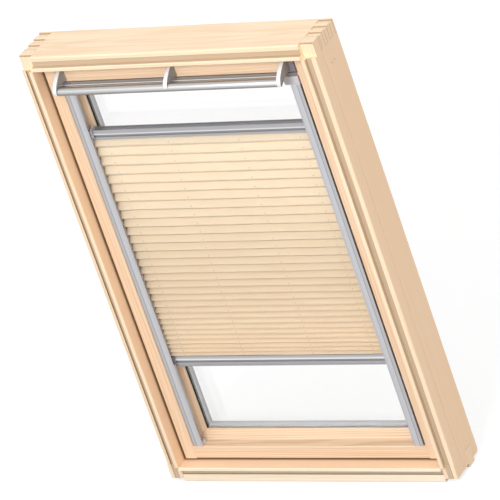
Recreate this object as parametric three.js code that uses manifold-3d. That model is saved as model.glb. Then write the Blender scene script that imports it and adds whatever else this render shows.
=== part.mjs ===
// A centre-pivot pine roof window with a hand-moved pleated blind in two side channels.
// Sizes are in millimetres. X runs across the window, Y from the room to the outside and Z up.
// Depths are counted from the room face of the frame. The finished part is moved so that its
// origin is in the middle of the frame's lower outer face.
import * as THREE from "three";
import { mergeVertices } from "three/addons/utils/BufferGeometryUtils.js";
import Module from "manifold-3d";

const wasm = await Module();
wasm.setup();

// Clearances
const jointGap = 0.3;
const slideGap = 0.6;
const overrun = 4;

// Frame timber
const frameWidth = 780;
const frameHeight = 1180;
const frameDepth = 125;
const sideThickness = 34;
const topThickness = 35;
const bottomThickness = 45;
const innerLipWidth = 10;
const liningGrooveWidth = 13.5;
const liningGrooveDepth = 12;
const outerLipSetback = 8.5;
const lipEase = 1.5;
const outerEdgeRadius = 4;
const markGrooveAt = 46;
const markGrooveWidth = 3;
const markGrooveDepth = 2.5;

// Comb joints of the frame corners: where each finger starts and ends in the frame's depth
const topFingerShares = [
  [0.16, 0.36],
  [0.41, 0.52],
  [0.62, 0.73],
  [0.84, 0.95],
];
const sillFingerShares = [0.57, 0.785];
const topFingerRecess = 3;
const sideFootRecess = 10;
const sideFootRadius = 9;

// Pilot holes for the installer's screws
const pilotRadius = 2;
const pilotDepth = 14;
const sideHoleAt = 75;
const sideHoleSpacing = 12;
const sideHoleDrop = 80;
const topHoleInset = 18;
const topHoleAt = 34;

// Sash timber
const sashGap = 6.5;
const sashEndGap = 6;
const sashSetback = 32;
const stileFace = 33;
const sillRailFace = 34.5;
const headRailFace = 50;
const sashEase = 2.5;
const ledgeDepth = 28.5;
const bevelDepth = 14.5;
const bevelRun = 24.5;
const sillBevelRun = 22.5;
const noseDepth = 3;
const rebateWidth = 18;
const rebateDepth = 34;

// Insulating glass
const paneEdgeGap = 3;
const paneThickness = 4;
const gasketThickness = 2.7;
const gasketWidth = 14;
const gasketLip = 2.5;
const spacerDepth = 14;
const spacerWidth = 11;
const spacerLip = 2;
const beadPlate = 2.7;
const beadInset = 3.5;
const beadLipWidth = 4;

// Pivot hinges
const pivotAt = 75;
const pivotPlateLength = 150;
const pivotPlateWidth = 40;
const pivotPlateThickness = 2.7;
const pivotPinRadius = 10;
const pivotPinReach = 12;

// Weather seal in the gap round the sash
const sealAt = 98;
const sealWidth = 8;
const sealThickness = 3.5;

// Lock in the upper rail and its striker in the frame
const lockInset = 24;
const lockWidth = 120;
const lockDepth = 24;
const lockHeight = 34;
const lockFloor = 4;
const tongueWidth = 24;
const tongueDepth = 8;
const tongueTravel = 12;
const strikerWidth = 70;
const strikerPlate = 2;

// Ventilation flap and the air filter behind it
const flapSeatHeight = 8.5;
const flapProud = 3;
const flapThickness = 20;
const flapFootGap = 3.5;
const flapTopGap = 1.5;
const flapEndGap = 16.5;
const flapPinInset = 9;
const flapEase = 2;
const flapPinRadius = 3;
const flapPinReach = 9;
const filterGap = 3;
const filterThickness = 14;
const filterBackGap = 2;
const filterEndGap = 26;

// Covers on the flap's seat, in front of its hinges
const hingeCoverThickness = 2.4;
const hingeCoverLength = 30;

// Control bar
const barReach = 42.3;
const barDrop = 0.5;
const barRadius = 10.3;
const barWall = 2.4;
const barMouthAngle = 300;
const barWebAngle = 74;
const barWebReach = 16.5;
const barWebRise = 3;
const barFinReach = 2;
const barFinRise = 3;
const barEndGap = 13.5;

// Control bar brackets
const bracketThickness = 11;
const bracketTopReach = 14;
const bracketReachShare = 0.93;
const bracketRiseShare = 0.4;
const bracketNoseAngle = 165;
const bracketFootAngle = 212;
const bracketHeelReach = 20.5;
const bracketHeelRise = 8;
const bracketRootRise = 4;
const bracketPlugLength = 7;
const bracketFootProud = 1.5;

// Blind side channels
const channelEndGap = 3.5;
const channelWidth = 25;
const channelDepth = 24;
const channelWall = 2;
const channelBackLip = 12;
const channelLineShare = 0.35;
const channelLineWidth = 1.4;
const channelLineDepth = 0.7;
const plugLength = 8;
const plugGap = 1.5;
const capHeight = 22;
const capProud = 1;
const capLugReach = 15;
const capLugBackGap = 4;
const capEase = 3;
const clipLength = 30;
const clipSetback = 6;
const clipHeightShares = [0.18, 0.82];

// Blind rails
const topRailDrop = 105.3;
const topRailHeight = 24.5;
const bottomRailRise = 225;
const bottomRailHeight = 24;
const railDepth = 20;
const railSetback = 9;
const railWall = 1.5;
const railSlotHalfWidth = 1.3;
const railLineWidth = 1.6;
const railLineDepth = 0.8;
const railLineShare = 0.5;
const handleReach = 4;
const glideCap = 1.6;
const glideTab = 4;
const glideHeight = 20;
const glideHeadLength = 18;

// Pleated cloth
const clothThickness = 0.6;
const pleatCount = 31;
const pleatPanel = 18.4;
const widestPitchShare = 1.31;
const narrowestPitchShare = 0.53;
const clothBeadRadius = 2.4;

// Facets of round forms
const roundSteps = 24;
const edgeSteps = 4;

const degree = Math.PI / 180;

// Depths that follow from the sizes above
const ledgeBack = sashSetback + ledgeDepth;
const noseFront = ledgeBack + bevelDepth;
const noseBack = noseFront + noseDepth;
const sashBack = noseBack + rebateDepth;
const lockAt = sashBack - lockInset;
const flapFront = sashSetback - flapProud;
const flapBack = flapFront + flapThickness;
const filterFront = flapBack + filterGap;
const flapSeatBack = filterFront + filterThickness + filterBackGap;
const channelFront = sashSetback;
const channelBack = channelFront + channelDepth;
const railFront = channelFront + railSetback;
const railBack = railFront + railDepth;
const clothAt = (railFront + railBack) / 2;

// Widths, counted from the middle of the window
const sideInner = frameWidth / 2 - sideThickness;
const sashOuter = sideInner - sashGap;
const reveal = sashOuter - stileFace;
const daylightX = reveal - bevelRun;
const channelOuter = reveal - channelEndGap;
const channelInner = channelOuter - channelWidth;
const railHalfLength = channelInner - slideGap - glideCap - jointGap;

// Heights
const topInner = frameHeight - topThickness;
const sashBottom = bottomThickness + sashEndGap;
const sashTop = topInner - sashEndGap;
const pivotZ = (topInner + bottomThickness) / 2;
const sillLedgeZ = sashBottom + sillRailFace;
const headLedgeZ = sashTop - headRailFace;
const daylightBottom = sillLedgeZ + sillBevelRun;
const daylightTop = headLedgeZ - bevelRun;
const rebateBottom = daylightBottom - rebateWidth;
const rebateTop = daylightTop + rebateWidth;
const flapBottom = headLedgeZ + flapSeatHeight + flapFootGap;
const flapTop = sashTop - flapTopGap;
const channelBottom = sillLedgeZ + jointGap;
const capTop = headLedgeZ - jointGap;
const capBottom = capTop - capHeight;
const channelTop = capBottom - jointGap;
const topRailTop = channelTop - topRailDrop;
const topRailBottom = topRailTop - topRailHeight;
const bottomRailBottom = channelBottom + bottomRailRise;
const bottomRailTop = bottomRailBottom + bottomRailHeight;

// A closed solid from a three.js geometry.
function solid(geometry) {
  const bare = geometry.index ? geometry.toNonIndexed() : geometry.clone();
  bare.deleteAttribute("normal");
  bare.deleteAttribute("uv");
  const merged = mergeVertices(bare);
  return new wasm.Manifold(
    new wasm.Mesh({
      numProp: 3,
      vertProperties: merged.attributes.position.array,
      triVerts: new Uint32Array(merged.index.array),
    }),
  );
}

const unitX = new THREE.Vector3(1, 0, 0);
const unitY = new THREE.Vector3(0, 1, 0);
const unitZ = new THREE.Vector3(0, 0, 1);
const bases = {
  x: new THREE.Matrix4().makeBasis(unitY, unitZ, unitX),
  z: new THREE.Matrix4().makeBasis(unitX, unitY, unitZ),
};

// A profile pushed along one axis. Its points are (Y, Z) along X, and (X, Y) along Z.
function extrude(points, axis, start, end) {
  const corners = points.map(([a, b]) => new THREE.Vector2(a, b));
  const geometry = new THREE.ExtrudeGeometry(new THREE.Shape(corners), {
    depth: end - start,
    bevelEnabled: false,
  });
  geometry.translate(0, 0, start);
  geometry.applyMatrix4(bases[axis]);
  return solid(geometry);
}

function box([x0, x1], [y0, y1], [z0, z1]) {
  const corners = [
    [x0, y0],
    [x1, y0],
    [x1, y1],
    [x0, y1],
  ];
  return extrude(corners, "z", z0, z1);
}

// Points on a circle from one angle to another, in degrees.
function arc(a, b, radius, from, to, steps) {
  const points = [];
  for (let k = 0; k <= steps; k += 1) {
    const angle = (from + ((to - from) * k) / steps) * degree;
    points.push([a + radius * Math.cos(angle), b + radius * Math.sin(angle)]);
  }
  return points;
}

function rod(axis, a, b, radius, [start, end]) {
  const round = arc(a, b, radius, 0, 360, roundSteps).slice(1);
  return extrude(round, axis, start, end);
}

function join(first, ...others) {
  return others.reduce((made, other) => made.add(other), first);
}

function cut(first, ...others) {
  return others.reduce((made, other) => made.subtract(other), first);
}

// The outline of a wall of one thickness that follows a line of points, longer at both ends.
function wallOutline(points, thickness, longer) {
  const line = points.map(([a, b]) => new THREE.Vector2(a, b));
  const steps = line.slice(1).map((point, k) => point.clone().sub(line[k]).normalize());
  line[0].addScaledVector(steps[0], -longer);
  line.at(-1).addScaledVector(steps.at(-1), longer);
  const left = [];
  const right = [];
  line.forEach((point, k) => {
    const before = steps.at(Math.max(k - 1, 0));
    const after = steps.at(Math.min(k, steps.length - 1));
    const along = before.clone().add(after).normalize();
    const aside = new THREE.Vector2(-along.y, along.x).multiplyScalar(
      thickness / 2 / along.dot(after),
    );
    left.push(point.clone().add(aside).toArray());
    right.push(point.clone().sub(aside).toArray());
  });
  return [...left, ...right.reverse()];
}

// The low and the high end of a stretch that lies on the left or the right of the middle.
function span(side, near, far) {
  return side < 0 ? [-far, -near] : [near, far];
}

// A stretch of one length about its middle, and a stretch widened by a clearance.
const about = (middle, length) => [middle - length / 2, middle + length / 2];
const widened = ([start, end], gap) => [start - gap, end + gap];

// A flat ring in the plane of the window, given by the outer edges of its profile.
function ring(halfWidth, bottom, top, width, [front, back]) {
  const inside = halfWidth - width;
  return cut(
    box([-halfWidth, halfWidth], [front, back], [bottom, top]),
    box([-inside, inside], [front - overrun, back + overrun], [bottom + width, top - width]),
  );
}

const group = new THREE.Group();

function add(name, made, colour, metalness, roughness) {
  const { vertProperties, triVerts } = made.getMesh();
  const geometry = new THREE.BufferGeometry();
  geometry.setAttribute("position", new THREE.BufferAttribute(vertProperties, 3));
  geometry.setIndex(new THREE.BufferAttribute(triVerts, 1));
  geometry.translate(0, -frameDepth / 2, 0);
  const material = new THREE.MeshStandardMaterial({
    color: colour,
    metalness,
    roughness,
    flatShading: true,
  });
  const mesh = new THREE.Mesh(geometry, material);
  mesh.name = name;
  group.add(mesh);
}

const pine = (name, made) => add(name, made, 0xf0cfa2, 0, 0.6);
const aluminium = (name, made) => add(name, made, 0xc3c6ca, 0.85, 0.35);
const steel = (name, made) => add(name, made, 0x9a9da1, 0.9, 0.4);
const plastic = (name, made) => add(name, made, 0x9d9fa6, 0, 0.5);
const darkPlastic = (name, made) => add(name, made, 0x55575c, 0, 0.5);
const rubber = (name, made) => add(name, made, 0x1d1d1f, 0, 0.85);
const glass = (name, made) => add(name, made, 0xe9f2f4, 0, 0.05);

const sides = [
  [-1, "left"],
  [1, "right"],
];

// Frame section
// The inner lip stands proud, the lining groove lies behind it and the outer lip is set back.
// Points are counted outwards from the inner face, and back from the room face.
function frameSection(thickness, marked) {
  const grooveEnd = innerLipWidth + liningGrooveWidth;
  const edge = arc(
    thickness - outerEdgeRadius,
    outerLipSetback + outerEdgeRadius,
    outerEdgeRadius,
    -90,
    0,
    edgeSteps,
  );
  const mark = [
    [thickness, markGrooveAt - markGrooveWidth / 2],
    [thickness - markGrooveDepth, markGrooveAt],
    [thickness, markGrooveAt + markGrooveWidth / 2],
  ];
  return [
    [0, lipEase],
    [lipEase, 0],
    [innerLipWidth - lipEase, 0],
    [innerLipWidth, lipEase],
    [innerLipWidth, liningGrooveDepth],
    [grooveEnd, liningGrooveDepth],
    [grooveEnd, outerLipSetback],
    ...edge,
    ...(marked ? mark : []),
    [thickness, frameDepth],
    [0, frameDepth],
  ];
}

const sideFingers = topFingerShares.map((ends) => ends.map((share) => share * frameDepth));
const sillFinger = sillFingerShares.map((share) => share * frameDepth);
const pivotDepths = about(pivotAt, pivotPlateWidth);
const pivotHeights = about(pivotZ, pivotPlateLength);

// Side members of the frame, with comb fingers at both ends and the hinge pocket halfway up
for (const [side, word] of sides) {
  const profile = frameSection(sideThickness, true).map(([a, y]) => [side * (sideInner + a), y]);
  const width = span(side, sideInner, frameWidth / 2);
  const through = widened(width, overrun);
  const fingers = sideFingers.map((finger, k) => {
    const end = k === 0 ? frameHeight : frameHeight - topFingerRecess;
    return box(width, finger, [topInner - overrun, end]);
  });
  const footProfile = [
    [outerLipSetback, bottomThickness + overrun],
    [outerLipSetback, sideFootRecess],
    ...arc(
      frameDepth - sideFootRadius,
      sideFootRecess + sideFootRadius,
      sideFootRadius,
      -90,
      0,
      2 * edgeSteps,
    ),
    [frameDepth, bottomThickness + overrun],
  ];
  const foot = extrude(footProfile, "x", ...width);
  const notch = box(
    through,
    widened(sillFinger, jointGap),
    [-overrun, bottomThickness + jointGap],
  );
  const pocket = box(
    span(side, sideInner - overrun, sideInner + pivotPlateThickness + jointGap),
    widened(pivotDepths, jointGap),
    widened(pivotHeights, jointGap),
  );
  const bore = rod(
    "x",
    pivotAt,
    pivotZ,
    pivotPinRadius + slideGap,
    span(side, sideInner, sideInner + pivotPinReach + jointGap),
  );
  const pilots = about(sideHoleAt, sideHoleSpacing).map((depth) =>
    rod(
      "x",
      depth,
      frameHeight - sideHoleDrop,
      pilotRadius,
      span(side, frameWidth / 2 - pilotDepth, frameWidth / 2 + overrun),
    ),
  );
  const timber = join(
    extrude(profile, "z", bottomThickness, topInner - jointGap),
    foot,
    ...fingers,
  );
  pine(`frame_${word}`, cut(timber, notch, pocket, bore, ...pilots));
}

// Upper member of the frame: its fingers lock between the sides', and it carries the striker
{
  const profile = frameSection(topThickness, false).map(([a, y]) => [y, topInner + a]);
  const reach = sideInner - jointGap;
  const ends = sides.map(([side]) =>
    cut(
      box(
        span(side, reach - overrun, frameWidth / 2),
        [sideFingers[0][1] + jointGap, frameDepth],
        [topInner, frameHeight],
      ),
      ...sideFingers.map((finger) =>
        box(
          span(side, reach, frameWidth / 2 + overrun),
          widened(finger, jointGap),
          [topInner - overrun, frameHeight + overrun],
        ),
      ),
    ),
  );
  const recess = box(
    widened([-strikerWidth / 2, strikerWidth / 2], jointGap),
    widened(about(lockAt, lockDepth), jointGap),
    [topInner - overrun, topInner + strikerPlate + jointGap],
  );
  const mouth = box(
    widened([-tongueWidth / 2, tongueWidth / 2], slideGap),
    widened(about(lockAt, tongueDepth), slideGap),
    [topInner, topInner + strikerPlate + tongueTravel],
  );
  const pilots = sides.map(([side]) =>
    rod(
      "z",
      side * (sideInner - topHoleInset),
      topHoleAt,
      pilotRadius,
      [frameHeight - pilotDepth, frameHeight + overrun],
    ),
  );
  const timber = join(extrude(profile, "x", -reach, reach), ...ends);
  pine("frame_top", cut(timber, recess, mouth, ...pilots));
}

// Lower member of the frame, with one broad finger through each side member
{
  const profile = frameSection(bottomThickness, false).map(([a, y]) => [y, bottomThickness - a]);
  const reach = sideInner - jointGap;
  const ends = sides.map(([side]) =>
    box(span(side, reach - overrun, frameWidth / 2), sillFinger, [0, bottomThickness]),
  );
  pine("frame_bottom", join(extrude(profile, "x", -reach, reach), ...ends));
}

// Sash section
// A front face, a flat ledge, a bevel down to the glass, a nose and the glazing rebate.
// Points are counted inwards from the sash's outer face, and back from the frame's room face.
function sashSection(face, run) {
  const daylight = face + run;
  return [
    [0, sashSetback + sashEase],
    [sashEase, sashSetback],
    [face - sashEase, sashSetback],
    [face, sashSetback + sashEase],
    [face, ledgeBack],
    [daylight, noseFront],
    [daylight, noseBack],
    [daylight - rebateWidth, noseBack],
    [daylight - rebateWidth, sashBack],
    [0, sashBack],
  ];
}

// Where the flap's pins lie
const flapAxisAt = flapFront + flapPinInset;
const flapAxisZ = flapBottom + flapPinInset;

// Stiles, full height, with a pocket for the pivot arm and a bore for the flap's pin
for (const [side, word] of sides) {
  const profile = sashSection(stileFace, bevelRun).map(([a, y]) => [side * (sashOuter - a), y]);
  const pocket = box(
    span(side, sashOuter - pivotPlateThickness - jointGap, sashOuter + overrun),
    widened(pivotDepths, jointGap),
    widened(pivotHeights, jointGap),
  );
  const bore = rod(
    "x",
    flapAxisAt,
    flapAxisZ,
    flapPinRadius + jointGap,
    span(side, reveal - overrun, reveal + flapPinReach + jointGap),
  );
  pine(`sash_${word}`, cut(extrude(profile, "z", sashBottom, sashTop), pocket, bore));
}

// The room that the stiles need in the ends of the rails
const copes = sides.map(([side]) => {
  const profile = sashSection(stileFace, bevelRun).map(([a, y]) => [side * (sashOuter - a - jointGap), y]);
  return extrude(profile, "z", sashBottom - overrun, sashTop + overrun);
});
const sashRailReach = reveal + rebateWidth;

// Lower rail of the sash
{
  const profile = sashSection(sillRailFace, sillBevelRun).map(([a, y]) => [y, sashBottom + a]);
  pine("sash_bottom", cut(extrude(profile, "x", -sashRailReach, sashRailReach), ...copes));
}

// Upper rail of the sash: a low seat for the flap in front, and a full back with the lock pocket
{
  const seatZ = headLedgeZ + flapSeatHeight;
  const profile = [
    [sashSetback, headLedgeZ + sashEase],
    [sashSetback + sashEase, headLedgeZ],
    [ledgeBack, headLedgeZ],
    [noseFront, daylightTop],
    [noseBack, daylightTop],
    [noseBack, rebateTop],
    [sashBack, rebateTop],
    [sashBack, sashTop],
    [flapSeatBack, sashTop],
    [flapSeatBack, seatZ],
    [sashSetback, seatZ],
  ];
  const pocket = box(
    widened([-lockWidth / 2, lockWidth / 2], jointGap),
    widened(about(lockAt, lockDepth), jointGap),
    [sashTop - lockHeight - jointGap, sashTop + overrun],
  );
  const timber = extrude(profile, "x", -sashRailReach, sashRailReach);
  pine("sash_top", cut(timber, pocket, ...copes));
}

// Pivot hinges: a plate let into the frame, and an arm with its pin let into the stile
for (const [side, word] of sides) {
  const plate = box(
    span(side, sideInner, sideInner + pivotPlateThickness),
    pivotDepths,
    pivotHeights,
  );
  const hole = rod(
    "x",
    pivotAt,
    pivotZ,
    pivotPinRadius + jointGap,
    span(side, sideInner - overrun, sideInner + overrun),
  );
  steel(`pivot_plate_${word}`, cut(plate, hole));
  const arm = box(
    span(side, sashOuter - pivotPlateThickness, sashOuter),
    pivotDepths,
    pivotHeights,
  );
  const pin = rod(
    "x",
    pivotAt,
    pivotZ,
    pivotPinRadius,
    span(side, sashOuter - pivotPlateThickness, sideInner + pivotPinReach),
  );
  steel(`pivot_arm_${word}`, join(arm, pin));
}

// Weather seal on the frame, round the whole gap
rubber(
  "weather_seal",
  ring(
    sideInner - jointGap,
    bottomThickness + jointGap,
    topInner - jointGap,
    sealThickness,
    [sealAt, sealAt + sealWidth],
  ),
);

// Insulating glass: two panes on a spacer, between an inner and an outer gasket
const innerGasketAt = noseBack + jointGap;
const innerPaneAt = innerGasketAt + gasketThickness + jointGap;
const spacerAt = innerPaneAt + paneThickness + jointGap;
const outerPaneAt = spacerAt + spacerDepth + jointGap;
const outerGasketAt = outerPaneAt + paneThickness + jointGap;
const beadLipAt = outerGasketAt + gasketThickness + jointGap;
const paneHalfWidth = daylightX + rebateWidth - paneEdgeGap;
for (const [name, front] of [
  ["inner_pane", innerPaneAt],
  ["outer_pane", outerPaneAt],
]) {
  glass(
    name,
    box(
      [-paneHalfWidth, paneHalfWidth],
      [front, front + paneThickness],
      [rebateBottom + paneEdgeGap, rebateTop - paneEdgeGap],
    ),
  );
}

// A ring whose inner edge stands a little way inside the timber's daylight opening.
function glazingRing(lip, width, depths) {
  const outside = width - lip;
  return ring(
    daylightX + outside,
    daylightBottom - outside,
    daylightTop + outside,
    width,
    depths,
  );
}
aluminium(
  "glass_spacer",
  glazingRing(spacerLip, spacerWidth, [spacerAt, spacerAt + spacerDepth]),
);
for (const [name, front] of [
  ["inner_gasket", innerGasketAt],
  ["outer_gasket", outerGasketAt],
]) {
  rubber(name, glazingRing(gasketLip, gasketWidth, [front, front + gasketThickness]));
}

// Outside glazing beads: a cover plate on the timber and a lip that presses the outer gasket
// Points are counted inwards from the sash's outer face, and back from the frame's room face.
function beadSection(face, run) {
  const plateFront = sashBack + jointGap;
  const inner = face + run - beadInset;
  return [
    [inner - beadLipWidth, plateFront],
    [inner - beadLipWidth, beadLipAt],
    [inner, beadLipAt],
    [inner, plateFront + beadPlate],
    [inner - beadLipWidth - rebateWidth, plateFront + beadPlate],
    [inner - beadLipWidth - rebateWidth, plateFront],
  ];
}
for (const [side, word] of sides) {
  const profile = beadSection(stileFace, bevelRun).map(([a, y]) => [side * (sashOuter - a), y]);
  aluminium(
    `glazing_bead_${word}`,
    extrude(profile, "z", rebateBottom + jointGap, rebateTop - jointGap),
  );
}
{
  const reach = daylightX + beadInset - jointGap;
  const lower = beadSection(sillRailFace, sillBevelRun).map(([a, y]) => [y, sashBottom + a]);
  aluminium("glazing_bead_bottom", extrude(lower, "x", -reach, reach));
  const upper = beadSection(headRailFace, bevelRun).map(([a, y]) => [y, sashTop - a]);
  aluminium("glazing_bead_top", extrude(upper, "x", -reach, reach));
}

// Lock: an open case in the upper rail, the tongue in it, and the striker in the frame
{
  const caseFloor = sashTop - lockHeight;
  const caseTop = sashTop - jointGap;
  const tongueX = [-tongueWidth / 2, tongueWidth / 2];
  const tongueY = about(lockAt, tongueDepth);
  const body = box(
    [-lockWidth / 2, lockWidth / 2],
    about(lockAt, lockDepth),
    [caseFloor, caseTop],
  );
  const slot = box(
    widened(tongueX, jointGap),
    widened(tongueY, jointGap),
    [caseFloor + lockFloor, caseTop + overrun],
  );
  steel("lock_case", cut(body, slot));
  const profile = [
    [tongueY[0], caseFloor + lockFloor + jointGap],
    [tongueY[1], caseFloor + lockFloor + jointGap],
    [tongueY[1], caseTop - tongueDepth / 2],
    [lockAt, caseTop],
    [tongueY[0], caseTop - tongueDepth / 2],
  ];
  steel("latch_tongue", extrude(profile, "x", ...tongueX));
  const plate = box(
    [-strikerWidth / 2, strikerWidth / 2],
    about(lockAt, lockDepth),
    [topInner, topInner + strikerPlate],
  );
  const mouth = box(
    widened(tongueX, slideGap),
    widened(tongueY, slideGap),
    [topInner - overrun, topInner + overrun],
  );
  steel("striker_plate", cut(plate, mouth));
}

// Ventilation flap: a pine board that tips forward about the pins of its two end caps
// The gap over its seat leaves room for its lower front edge to swing down.
{
  const profile = [
    [flapFront, flapBottom + flapEase],
    [flapFront + flapEase, flapBottom],
    [flapBack, flapBottom],
    [flapBack, flapTop - flapEase],
    [flapBack - flapEase, flapTop],
    [flapFront + flapEase, flapTop],
    [flapFront, flapTop - flapEase],
  ];
  const halfWidth = reveal - flapEndGap;
  pine("ventilation_flap", extrude(profile, "x", -halfWidth, halfWidth));
  for (const [side, word] of sides) {
    const capWidth = span(side, halfWidth + jointGap, reveal - jointGap);
    const pinWidth = span(side, halfWidth + jointGap, reveal + flapPinReach);
    plastic(
      `flap_end_cap_${word}`,
      join(
        extrude(profile, "x", ...capWidth),
        rod("x", flapAxisAt, flapAxisZ, flapPinRadius, pinWidth),
      ),
    );
  }
  for (const [side, word] of sides) {
    plastic(
      `flap_hinge_cover_${word}`,
      box(
        span(side, reveal - jointGap - hingeCoverLength, reveal - jointGap),
        [sashSetback - jointGap - hingeCoverThickness, sashSetback - jointGap],
        [headLedgeZ + sashEase, flapBottom - flapFootGap / 2],
      ),
    );
  }
  const filterX = reveal - filterEndGap;
  darkPlastic(
    "air_filter",
    box(
      [-filterX, filterX],
      [filterFront, filterFront + filterThickness],
      [headLedgeZ + flapSeatHeight + jointGap, flapTop],
    ),
  );
}

// Control bar: one wall bent to a hooked shell, a web and a fin, on three brackets on the flap
{
  const barAt = flapFront - barReach;
  const barZ = flapBottom - barDrop;
  const barHalfLength = reveal - barEndGap;
  const shellMiddle = barRadius - barWall / 2;
  const webEnd = [barAt + barWebReach, barZ + barWebRise];
  const finEnd = [webEnd[0] + barFinReach, webEnd[1] + barFinRise];
  const shell = arc(barAt, barZ, shellMiddle, barMouthAngle, barWebAngle, roundSteps);
  const line = [...shell, webEnd, finEnd];
  const barX = barHalfLength - bracketThickness - jointGap;
  const footRadius = barRadius + bracketFootProud;
  aluminium("control_bar", extrude(wallOutline(line, barWall, 0), "x", -barX, barX));

  // A bracket bulges forward from the top of the flap to the front of the bar.
  const crown = [flapFront - bracketTopReach, flapTop];
  const [nose] = arc(barAt, barZ, footRadius, bracketNoseAngle, bracketNoseAngle, 1);
  const bulge = [
    THREE.MathUtils.lerp(crown[0], nose[0], bracketReachShare),
    THREE.MathUtils.lerp(nose[1], crown[1], bracketRiseShare),
  ];
  const curve = new THREE.QuadraticBezierCurve(
    ...[crown, bulge, nose].map(([y, z]) => new THREE.Vector2(y, z)),
  );
  const front = curve.getPoints(roundSteps / 2).map((point) => point.toArray());
  const root = [
    [flapFront - bracketHeelReach, flapBottom + bracketHeelRise],
    [flapFront - jointGap, flapBottom + bracketRootRise],
    [flapFront - jointGap, flapTop],
  ];

  // The middle bracket lies on the bar's shell, web and fin.
  const crest = arc(barAt, barZ, shellMiddle, bracketNoseAngle, barWebAngle, roundSteps / 2);
  const middleX = about(0, bracketThickness);
  const clearance = wallOutline(line, barWall + 2 * jointGap, jointGap);
  aluminium(
    "bar_bracket_centre",
    cut(
      extrude([...front, ...crest, webEnd, finEnd, ...root], "x", ...middleX),
      extrude(clearance, "x", ...widened(middleX, overrun)),
    ),
  );

  // An outer bracket closes the bar's end and stands round it, and its plug fills the shell's end.
  const foot = arc(barAt, barZ, footRadius, bracketNoseAngle, bracketFootAngle, 2 * edgeSteps);
  const outline = [...front, ...foot.slice(1), ...root];
  for (const [side, word] of sides) {
    const plate = span(side, barHalfLength - bracketThickness, barHalfLength);
    const plugX = span(side, barHalfLength - bracketThickness - bracketPlugLength, barHalfLength);
    const plug = rod("x", barAt, barZ, barRadius - barWall - jointGap, plugX);
    aluminium(
      `bar_bracket_${word}`,
      join(extrude(outline, "x", ...plate), extrude(outline, "x", ...plugX).intersect(plug)),
    );
  }
}

// Blind side channels: a broad front flange, an outer web and a narrow lip behind
for (const [side, word] of sides) {
  const lineAt = THREE.MathUtils.lerp(channelInner, channelOuter, channelLineShare);
  const profile = [
    [channelInner, channelFront],
    [lineAt - channelLineWidth / 2, channelFront],
    [lineAt, channelFront + channelLineDepth],
    [lineAt + channelLineWidth / 2, channelFront],
    [channelOuter, channelFront],
    [channelOuter, channelBack],
    [channelOuter - channelBackLip, channelBack],
    [channelOuter - channelBackLip, channelBack - channelWall],
    [channelOuter - channelWall, channelBack - channelWall],
    [channelOuter - channelWall, channelFront + channelWall],
    [channelInner, channelFront + channelWall],
  ].map(([x, y]) => [side * x, y]);
  aluminium(`side_channel_${word}`, extrude(profile, "z", channelBottom, channelTop));

  // A plug inside the foot of the channel, and a cap on its top with a plug of the same section
  const plugX = span(side, channelInner + plugGap, channelOuter - channelWall - plugGap);
  const plugY = [channelFront + channelWall + plugGap, channelBack - channelWall - plugGap];
  plastic(
    `channel_foot_${word}`,
    box(plugX, plugY, [channelBottom, channelBottom + plugLength]),
  );
  const lugX = channelInner - capLugReach;
  const capFront = channelFront - capProud;
  const capOuter = channelOuter + capProud;
  const capProfile = [
    [lugX, capFront + capEase],
    [lugX + capEase, capFront],
    [capOuter, capFront],
    [capOuter, channelBack],
    [channelInner, channelBack],
    [channelInner, channelBack - capLugBackGap],
    [lugX, channelBack - capLugBackGap],
  ].map(([x, y]) => [side * x, y]);
  const capPlug = box(plugX, plugY, [capBottom - plugLength, capTop]);
  plastic(`channel_cap_${word}`, join(extrude(capProfile, "z", capBottom, capTop), capPlug));

  // Flat clips hold the channel on the stile.
  clipHeightShares.forEach((share, k) => {
    const middle = THREE.MathUtils.lerp(channelBottom, channelTop, share);
    steel(
      `channel_clip_${word}_${k === 0 ? "lower" : "upper"}`,
      box(
        span(side, channelOuter + jointGap, reveal - jointGap),
        [channelFront + clipSetback, channelBack],
        about(middle, clipLength),
      ),
    );
  });
}

// Blind rails: hollow extrusions with a slot for the cloth and a fine line along the front
function railSection(slotZ, closedZ) {
  const up = Math.sign(closedZ - slotZ);
  const lineZ = THREE.MathUtils.lerp(slotZ, closedZ, railLineShare);
  const lipZ = slotZ + up * railWall;
  const roofZ = closedZ - up * railWall;
  return [
    [clothAt - railSlotHalfWidth, slotZ],
    [railFront, slotZ],
    [railFront, lineZ - (up * railLineWidth) / 2],
    [railFront + railLineDepth, lineZ],
    [railFront, lineZ + (up * railLineWidth) / 2],
    [railFront, closedZ],
    [railBack, closedZ],
    [railBack, slotZ],
    [clothAt + railSlotHalfWidth, slotZ],
    [clothAt + railSlotHalfWidth, lipZ],
    [railBack - railWall, lipZ],
    [railBack - railWall, roofZ],
    [railFront + railWall, roofZ],
    [railFront + railWall, lipZ],
    [clothAt - railSlotHalfWidth, lipZ],
  ];
}
const railX = [-railHalfLength, railHalfLength];
aluminium("top_rail", extrude(railSection(topRailBottom, topRailTop), "x", ...railX));
aluminium(
  "bottom_rail",
  join(
    extrude(railSection(bottomRailTop, bottomRailBottom), "x", ...railX),
    box(
      railX,
      [railFront - handleReach, railFront + railWall],
      [bottomRailBottom, bottomRailBottom + railWall],
    ),
  ),
);

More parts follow.
